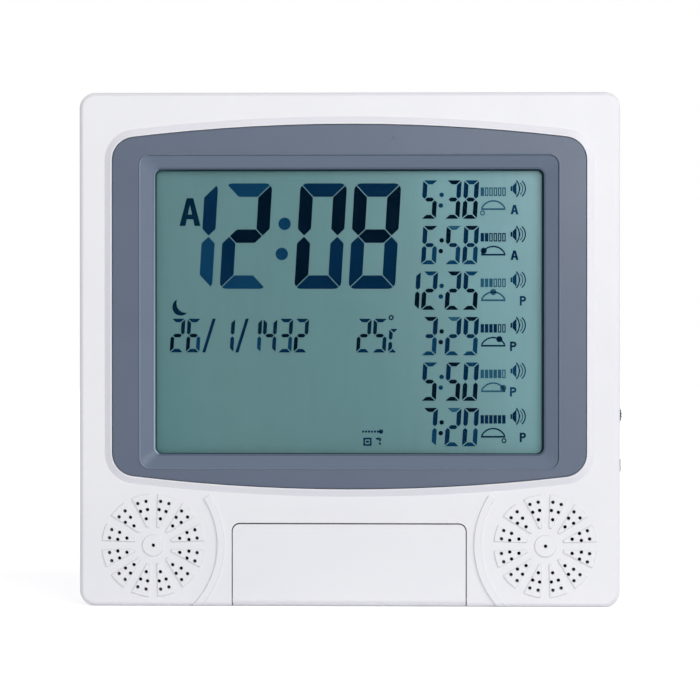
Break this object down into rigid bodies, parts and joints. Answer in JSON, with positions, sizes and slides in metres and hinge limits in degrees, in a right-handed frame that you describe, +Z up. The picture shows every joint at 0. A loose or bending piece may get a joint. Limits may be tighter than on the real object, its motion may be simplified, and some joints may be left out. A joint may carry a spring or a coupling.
{
  "type": "azan clock",
  "caption": "Wall and table azan clock with a wide digital display, twin loudspeaker grilles and a fold-down flap over its keys.",
  "frame": {"origin": "middle of the flat bottom face, halfway between the front and back faces", "axes": "+X to the right seen from the front, +Y from front to back, +Z up"},
  "size_m": [0.2359, 0.0354, 0.2233],
  "materials": {
    "casing_white": "satin",
    "bezel_grey": "satin",
    "clear_pane": "polished",
    "display_glass": "polished",
    "holder_white": "satin",
    "strip_rubber": "matte",
    "circuit_board": "solder mask",
    "chip_black": "matte",
    "plated_metal": "plated",
    "keypad_rubber": "matte",
    "key_grey": "satin",
    "speaker_metal": "black",
    "magnet_ferrite": "matte",
    "speaker_paper": "matte",
    "wire_black": "satin",
    "wheel_black": "satin",
    "socket_grey": "satin",
    "battery_jacket": "gloss",
    "screw_steel": "plated",
    "ribbon_grey": "satin"
  },
  "bodies": {
    "casing": {"front_case": "casing_white", "rear_case": "casing_white", "key_tray": "casing_white", "display_bezel": "bezel_grey", "display_pane": "clear_pane", "display_cell": "display_glass", "display_holder": "holder_white", "display_connector_strips": "strip_rubber", "main_board": "circuit_board", "control_board": "circuit_board", "clock_chip_cover": "chip_black", "audio_chip": "chip_black", "quartz_crystal": "plated_metal", "temperature_sensor": "chip_black", "rubber_keypad": "keypad_rubber", "left_speaker_basket": "speaker_metal", "left_speaker_magnet": "magnet_ferrite", "left_speaker_cone": "speaker_paper", "left_speaker_lead": "wire_black", "right_speaker_basket": "speaker_metal", "right_speaker_magnet": "magnet_ferrite", "right_speaker_cone": "speaker_paper", "right_speaker_lead": "wire_black", "speaker_washers": "plated_metal", "volume_control": "chip_black", "power_socket": "socket_grey", "battery_1": "battery_jacket", "battery_2": "battery_jacket", "battery_3": "battery_jacket", "battery_contacts": "plated_metal", "battery_springs": "plated_metal", "case_screws": "screw_steel", "main_board_screws": "screw_steel", "control_board_screws": "screw_steel", "speaker_screws": "screw_steel", "control_ribbon": "ribbon_grey"},
    "flap": {"control_flap": "casing_white"},
    "volume_knob": {"volume_wheel": "wheel_black", "volume_wheel_screw": "plated_metal"},
    "stand": {"folding_stand": "casing_white"},
    "battery_door": {"battery_cover": "casing_white"},
    "key_1": {"key_1": "key_grey"},
    "key_2": {"key_2": "key_grey"},
    "key_3": {"key_3": "key_grey"},
    "key_4": {"key_4": "key_grey"},
    "key_5": {"key_5": "key_grey"},
    "key_6": {"key_6": "key_grey"},
    "key_7": {"key_7": "key_grey"},
    "key_8": {"key_8": "key_grey"}
  },
  "joints": [
    {"name": "flap_hinge", "type": "hinge", "parent": "casing", "child": "flap", "pos_m": [0, -0.014, 0.003], "axis": [1, 0, 0], "range_deg": [0, 90]},
    {"name": "volume_turn", "type": "hinge", "parent": "casing", "child": "volume_knob", "pos_m": [0.1107, 0, 0.0829], "axis": [0, 1, 0], "range_deg": [-140, 140]},
    {"name": "stand_hinge", "type": "hinge", "parent": "casing", "child": "stand", "pos_m": [0, 0.0148, 0.092], "axis": [1, 0, 0], "range_deg": [0, 32]},
    {"name": "battery_door_lift", "type": "slide", "parent": "casing", "child": "battery_door", "axis": [0, 1, 0], "range_m": [0, 0.03]},
    {"name": "key_1_press", "type": "slide", "parent": "casing", "child": "key_1", "axis": [0, 1, 0], "range_m": [0, 0.0012], "stiffness_N_per_m": 800, "springref_m": -0.0004},
    {"name": "key_2_press", "type": "slide", "parent": "casing", "child": "key_2", "axis": [0, 1, 0], "range_m": [0, 0.0012], "stiffness_N_per_m": 800, "springref_m": -0.0004},
    {"name": "key_3_press", "type": "slide", "parent": "casing", "child": "key_3", "axis": [0, 1, 0], "range_m": [0, 0.0012], "stiffness_N_per_m": 800, "springref_m": -0.0004},
    {"name": "key_4_press", "type": "slide", "parent": "casing", "child": "key_4", "axis": [0, 1, 0], "range_m": [0, 0.0012], "stiffness_N_per_m": 800, "springref_m": -0.0004},
    {"name": "key_5_press", "type": "slide", "parent": "casing", "child": "key_5", "axis": [0, 1, 0], "range_m": [0, 0.0012], "stiffness_N_per_m": 800, "springref_m": -0.0004},
    {"name": "key_6_press", "type": "slide", "parent": "casing", "child": "key_6", "axis": [0, 1, 0], "range_m": [0, 0.0012], "stiffness_N_per_m": 800, "springref_m": -0.0004},
    {"name": "key_7_press", "type": "slide", "parent": "casing", "child": "key_7", "axis": [0, 1, 0], "range_m": [0, 0.0012], "stiffness_N_per_m": 800, "springref_m": -0.0004},
    {"name": "key_8_press", "type": "slide", "parent": "casing", "child": "key_8", "axis": [0, 1, 0], "range_m": [0, 0.0012], "stiffness_N_per_m": 800, "springref_m": -0.0004}
  ]
}
